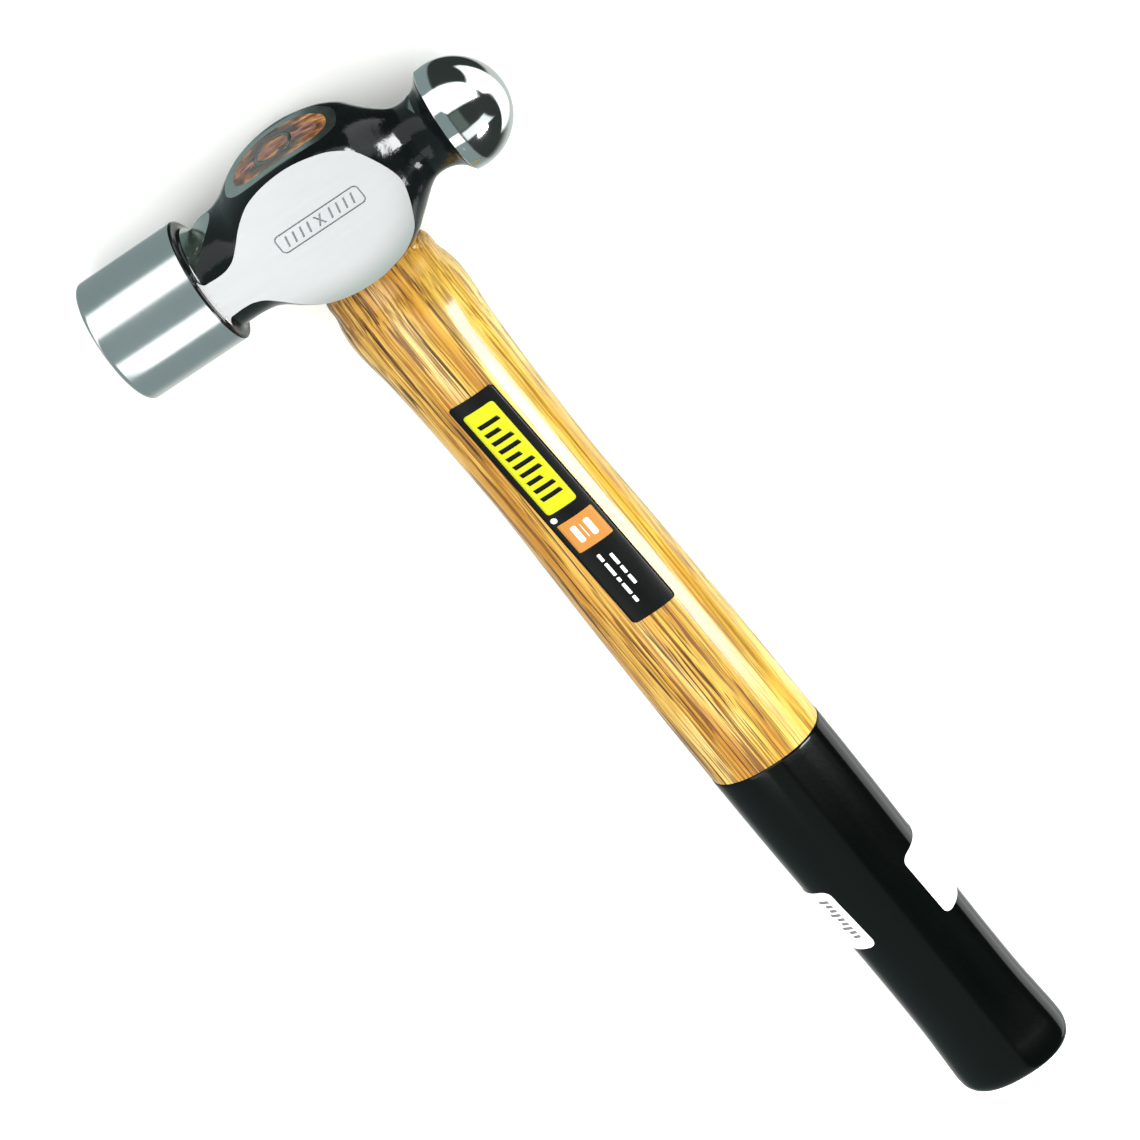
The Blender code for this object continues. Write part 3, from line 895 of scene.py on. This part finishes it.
def build_grip():
    """Cup of coating with a rolled upper lip and a rounded butt."""
    black = grip_black()
    rings = []
    for down, off in ((6.0, -0.35), (0.35, -0.35), (0.2, -0.1), (0.25, 0.04), (0.5, 0.14)):
        y = GRIP_TOP_Y - down
        half_x, half_z = section(HANDLE_SECTIONS, y)
        rings.append(ring_at(y, half_x, half_z, off=off))
    steps = 60
    start = GRIP_TOP_Y - 1.0
    for i in range(steps + 1):
        y = start + (ROUND_TOP_Y - start) * i / steps
        half_x, half_z = section(HANDLE_SECTIONS, y)
        rings.append(ring_at(y, half_x, half_z, off=GRIP_PROUD))
    wide_x, wide_z = section(HANDLE_SECTIONS, ROUND_TOP_Y)
    round_r = ROUND_TOP_Y - BUTT_Y
    for i in range(1, 11):
        turn = math.radians(9 * i)
        y = ROUND_TOP_Y - round_r * math.sin(turn)
        off = GRIP_PROUD - BUTT_ROUND * (1 - math.cos(turn))
        rings.append(ring_at(y, wide_x, wide_z, off=off))
    grip = show("dipped_grip", loft_shape(rings), [black])
    smooth(grip, 40)
    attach(grip, "root")
    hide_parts("grip_coating")


def corner_pull(down, length, corner):
    """How far a rounded corner draws in the side of a patch, at a distance down from its top."""
    edge = min(down, length - down)
    if edge >= corner:
        return 0.0
    return corner - math.sqrt(max(0.0, corner ** 2 - (corner - edge) ** 2))


def lay_patch(name, y0, y1, x0, x1, lift, material, corner=0.0, slant=0.0, thick=0.03):
    """Thin sheet on the front of the handle, leaning with the label, with rounded corners.

    x0 and x1 are measured from the middle of the label, and y0 is the upper edge."""
    shape = bmesh.new()
    length = y0 - y1
    straight = length - 2 * corner
    middle = max(2, int(straight / 2.0))
    if corner > 0:
        marks = [corner * (1 - math.cos(math.radians(15 * i))) for i in range(7)]
        body = [corner + straight * i / middle for i in range(1, middle)]
    else:
        marks = [0.0]
        body = [straight * i / middle for i in range(middle)]
    downs = sorted(set(round(d, 5) for d in marks + body + [length - m for m in marks]))
    across = max(2, int((x1 - x0) / 0.6))
    rows = []
    for down in downs:
        pull = corner_pull(down, length, corner)
        y = y0 - down
        share = (FRONT_TOP_Y - y) / FRONT_LENGTH
        shift = FRONT_LEAN * share + slant * (down / length - 0.5)
        half_x, half_z = section(HANDLE_SECTIONS, y)
        row = []
        for j in range(across + 1):
            x = x0 + pull + (x1 - x0 - 2 * pull) * j / across + shift
            rise = (1 - (abs(x) / (half_x + lift)) ** HANDLE_POWER) ** (1 / HANDLE_POWER)
            row.append(shape.verts.new(Vector((x, y, (half_z + lift) * rise)) * MM))
        rows.append(row)
    for low, high in zip(rows, rows[1:]):
        for j in range(across):
            shape.faces.new((low[j], high[j], high[j + 1], low[j + 1]))
    for face in shape.faces:
        face.normal_update()
        if face.normal.z < 0:
            face.normal_flip()
    piece = show(name, shape, [material])
    step = piece.modifiers.new("thickness", "SOLIDIFY")
    step.thickness = thick * MM
    step.offset = 1.0
    smooth(piece, 60)
    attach(piece, "root")
    return piece


def build_front_label():
    black = film("label black film", (0.0035, 0.0042, 0.0040))
    yellow = film("label yellow ink", (0.47, 0.49, 0.008), 0.3)
    orange = film("label orange ink", (0.45, 0.195, 0.040), 0.3)
    white = film("label white ink", (0.85, 0.85, 0.82), 0.3)
    half = FRONT_WIDTH / 2
    end = FRONT_TOP_Y - FRONT_LENGTH
    base = lay_patch("label_film", FRONT_TOP_Y, end, -half, half, 0.03, black,
                     corner=1.2, thick=0.08)
    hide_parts("front_label")
    lift = INK_LIFT
    over = lift + INK_STEP
    top = FRONT_TOP_Y - LABEL_GAP
    bottom = top - YELLOW_LENGTH
    lay_patch("label_yellow_panel", top, bottom, -half + 1.5, half - 2.4, lift, yellow,
              corner=0.9)
    for i in range(BAR_COUNT):
        y = top - BAR_MARGIN - (YELLOW_LENGTH - 2 * BAR_MARGIN) * (i + 0.5) / BAR_COUNT
        inset = 1.6 if i % 3 == 1 else 0.0
        lay_patch(f"label_bar_{i + 1}", y + BAR_HALF, y - BAR_HALF,
                  -half + 2.9, half - 3.8 - inset, over, black, slant=0.25)
    square = bottom - LABEL_GAP
    lay_patch("label_orange_panel", square, square - ORANGE_LENGTH, -half + 1.4, half - 1.2,
              lift, orange, corner=0.3)
    for i, x in enumerate((-1.9, 1.7)):
        lay_patch(f"label_orange_mark_{i + 1}", square - 2.0, square - 7.2, x - 0.75, x + 0.75,
                  over, white, corner=0.5)
    lay_patch("label_orange_line", square - 2.4, square - 6.8, -0.22, -0.04, over, white)
    lay_patch("label_dot", bottom - 1.1, bottom - 2.7, -half + 1.0, -half + 2.6, lift, white,
              corner=0.78)
    for line, (x, down, lengths) in enumerate(DASH_ROWS):
        y = square - 12.2 - down
        for i, length in enumerate(lengths):
            lay_patch(f"label_dash_{line + 1}_{i + 1}", y, y - length,
                      x - DASH_HALF, x + DASH_HALF, lift, white, corner=0.2)
            y -= length + DASH_GAP


def build_rear_label():
    """White paper label round the back of the grip. Both ends show in front."""
    paper = film("label white paper", (0.82, 0.82, 0.81), 0.45)
    grey = film("label grey ink", (0.16, 0.16, 0.165), 0.45)

    def wrap(name, down0, down1, along0, along1, off, thick, corner, material):
        """Strip from along0 to along1, as shares of the way round from the left end."""
        shape = bmesh.new()
        height = down1 - down0
        marks = [corner * (1 - math.cos(math.radians(18 * i))) for i in range(6)]
        rest = [corner + (height - 2 * corner) * i / 6 for i in range(7)]
        downs = sorted(set(round(d, 5) for d in marks + rest + [height - m for m in marks]))
        steps = max(3, int(90 * (along1 - along0)))
        rows = []
        for down in downs:
            pull = corner_pull(down, height, corner)
            share = (down0 + down) / REAR_HEIGHT
            start = REAR_LEFT - REAR_LEAN * share
            end = 360.0 + REAR_RIGHT - REAR_LEAN * share * 0.4
            inset = math.degrees(pull / 13.0)
            low = start + (end - start) * along0 + inset
            high = start + (end - start) * along1 - inset
            row = []
            for j in range(steps + 1):
                round_to = low + (high - low) * j / steps
                turn = math.radians(round_to)
                askew = (REAR_RISE_Y + REAR_DROP_Y) * (round_to - start) / (end - start)
                y = REAR_TOP_Y - down0 - down + REAR_RISE_Y - askew
                half_x, half_z = section(HANDLE_SECTIONS, y)
                u = math.cos(turn)
                v = math.sin(turn)
                size = ((abs(u) / (half_x + off)) ** HANDLE_POWER
                        + (abs(v) / (half_z + off)) ** HANDLE_POWER)
                reach = size ** (-1.0 / HANDLE_POWER)
                row.append(shape.verts.new(Vector((u * reach, y, v * reach)) * MM))
            rows.append(row)
        for near, far in zip(rows, rows[1:]):
            for j in range(steps):
                shape.faces.new((near[j], near[j + 1], far[j + 1], far[j]))
        bmesh.ops.recalc_face_normals(shape, faces=shape.faces)
        face = next(iter(shape.faces))
        outward = face.calc_center_median()
        if face.normal.x * outward.x + face.normal.z * outward.z < 0:
            bmesh.ops.reverse_faces(shape, faces=shape.faces)
        piece = show(name, shape, [material])
        step = piece.modifiers.new("thickness", "SOLIDIFY")
        step.thickness = thick * MM
        step.offset = 1.0
        smooth(piece, 60)
        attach(piece, "root")
        return piece

    sheet = wrap("paper_label", 0.0, REAR_HEIGHT, 0.0, 1.0, GRIP_PROUD + 0.03, PAPER_THICK,
                 PAPER_CORNER, paper)
    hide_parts("rear_label")
    ink_off = GRIP_PROUD + PAPER_INK_LIFT
    for i in range(9):
        down = 3.2 + 1.75 * i
        wide = 0.030 if i % 3 else 0.045
        wrap(f"paper_label_mark_{i + 1}", down, down + 1.0, 0.030, 0.030 + wide, ink_off, 0.02,
             0.25, grey)
    for i in range(5):
        down = 4.0 + 3.2 * i
        wrap(f"paper_label_rule_{i + 1}", down, down + 0.7, 0.36, 0.72 - 0.05 * (i % 2),
             ink_off, 0.02, 0.2, grey)


# ---------------------------------------------------------------- stage

def add_floor():
    g = Graph("pale floor")
    grain = g.noise(g.mapped((6, 6, 6)), 2.0)
    g.color(g.mix(grain, (0.93, 0.935, 0.925), (0.96, 0.965, 0.95)))
    g.fixed(Roughness=0.9, Specular_IOR_Level=0.1)
    shape = bmesh.new()
    bmesh.ops.create_grid(shape, x_segments=1, y_segments=1, size=6.0)
    mesh = bpy.data.meshes.new("floor")
    shape.to_mesh(mesh)
    shape.free()
    mesh.materials.append(g.material)
    floor = bpy.data.objects.new("floor", mesh)
    floor.visible_glossy = False
    bpy.context.scene.collection.objects.link(floor)


def add_panel(name, place, aim, size, radiance, turn=0.0):
    """Soft rectangular light of even brightness. place and aim are metres from the eye."""
    light = bpy.data.lights.new(name, "AREA")
    light.shape = "RECTANGLE"
    light.size = size[0]
    light.size_y = size[1]
    light.energy = radiance * math.pi * size[0] * size[1]
    made = bpy.data.objects.new(name, light)
    made.location = EYE + Vector(place)
    toward = Vector(aim) - Vector(place)
    made.rotation_mode = "QUATERNION"
    made.rotation_quaternion = (Quaternion((0, 0, 1), math.radians(turn))
                                @ toward.to_track_quat("-Z", "Y"))
    made.visible_camera = False
    bpy.context.scene.collection.objects.link(made)


def add_world():
    """White fill for the surfaces, and a studio with soft boxes for the gloss to mirror."""
    world = bpy.data.worlds.new("studio")
    g = Graph("studio", world)
    parts = g.tree.nodes.new("ShaderNodeSeparateXYZ")
    g.feed(parts.inputs[0], g.place)
    x, y, z = (parts.outputs[i] for i in range(3))
    rise = g.math("MULTIPLY", g.math("ARCTAN2", y, z), 180.0 / math.pi)
    left = g.step(x, -0.045, -0.095)
    room = g.mix(left, DARK_ROOM, LEFT_WALL)
    front = g.math("MULTIPLY", g.window(y, -0.20, 0.50, 0.08), g.window(x, -0.05, 0.34, 0.06))
    room = g.mix(g.math("MULTIPLY", front, g.step(z, 0.4, 0.6)), room, FRONT_WALL)
    far_edge = g.math("SUBTRACT", rise, g.math("MULTIPLY", g.step(x, -0.2, 0.0), -12.0))
    far_box = g.math("MULTIPLY", g.window(far_edge, 45.0, 104.0, 2.0), g.step(rise, 94.0, 90.0))
    far_box = g.math("MULTIPLY", far_box, g.step(x, 0.97, 0.90))
    near_box = g.math("MULTIPLY", g.window(y, -0.545, -0.24, 0.02), g.window(x, -0.02, 0.80, 0.03))
    near_box = g.math("MULTIPLY", near_box, g.step(z, 0.05, 0.15))
    low_top = g.math("SUBTRACT", z, g.math("MULTIPLY", g.step(y, -0.15, 0.15), 0.22))
    low_box = g.math("MULTIPLY", g.window(z, -0.72, 0.40, 0.03), g.step(low_top, -0.09, -0.13))
    low_box = g.math("MULTIPLY", low_box, g.step(x, 0.42, 0.55))
    low_box = g.math("MULTIPLY", low_box, g.step(y, 0.62, 0.56))
    boxes = g.math("MAXIMUM", far_box, low_box)
    table = g.math("MULTIPLY", g.step(rise, -98.0, -134.0), g.step(rise, -179.0, -170.0))
    seen = g.mix(table, room, TABLE)
    seen = g.mix(near_box, seen, NEAR_BOX)
    seen = g.mix(boxes, seen, SOFT_BOX)
    lamp = g.math("MULTIPLY", g.window(x, 0.70, 0.90, 0.02), g.window(rise, 38.0, 84.0, 2.0))
    seen = g.mix(lamp, seen, LAMP)
    path = g.tree.nodes.new("ShaderNodeLightPath")
    g.feed(g.shader.inputs["Color"], g.mix(path.outputs["Is Glossy Ray"], WHITE_FILL, seen))
    bpy.context.scene.world = world


def add_lights():
    bpy.context.scene.view_settings.view_transform = "Standard"
    add_world()
    add_panel("left box", (-0.235, -0.30, 0.50), (-0.235, -0.30, 0.0), (0.17, 0.46), 1.65)
    add_panel("middle box", (-0.08, -0.19, 0.50), (-0.08, -0.19, 0.0), (0.14, 0.22), 1.6)
    add_panel("key strip", (0.456, -0.452, 0.50), (0.456, -0.452, 0.0), (0.42, 0.228), 21.0, -19.0)


def add_camera():
    camera = bpy.data.cameras.new("camera")
    camera.lens = CAMERA_LENS
    camera.sensor_width = CAMERA_SENSOR
    camera.clip_start = 0.01
    made = bpy.data.objects.new("camera", camera)
    target = EYE + Vector(CAMERA_AIM)
    made.location = EYE + Vector(CAMERA_PLACE)
    look = (target - made.location).to_track_quat("-Z", "Y")
    made.rotation_mode = "QUATERNION"
    made.rotation_quaternion = look @ Quaternion((0, 0, 1), math.radians(CAMERA_ROLL))
    bpy.context.scene.collection.objects.link(made)
    bpy.context.scene.camera = made


build_head()
build_wedges()
build_handle()
build_grip()
build_front_label()
build_rear_label()
add_floor()
add_lights()
add_camera()
